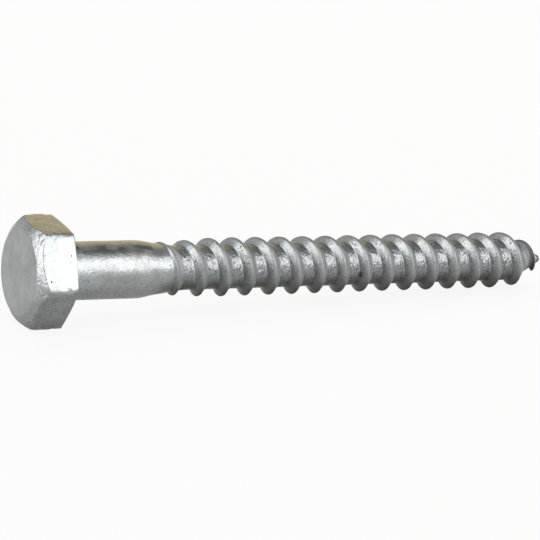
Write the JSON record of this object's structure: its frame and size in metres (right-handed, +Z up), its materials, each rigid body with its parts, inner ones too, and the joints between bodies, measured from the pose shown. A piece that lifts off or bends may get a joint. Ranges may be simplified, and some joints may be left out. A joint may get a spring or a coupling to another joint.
{
  "type": "coach screw",
  "caption": "Galvanised hexagon-head coach screw with a plain shank, a coarse wood thread and a gimlet point, lying on its side.",
  "frame": {"origin": "middle of the box round the screw, on the surface it lies on", "axes": "+X from the head towards the point, +Z up; the screw's own axis dips about two degrees below +X towards the point, as it does at rest"},
  "size_m": [0.0808, 0.0148, 0.0133],
  "materials": {
    "galvanised_steel": "hot-dip galvanised: dull grey zinc with soft, lumpy edges and small pits"
  },
  "bodies": {
    "root": {"coach_screw": "galvanised_steel"}
  },
  "joints": []
}
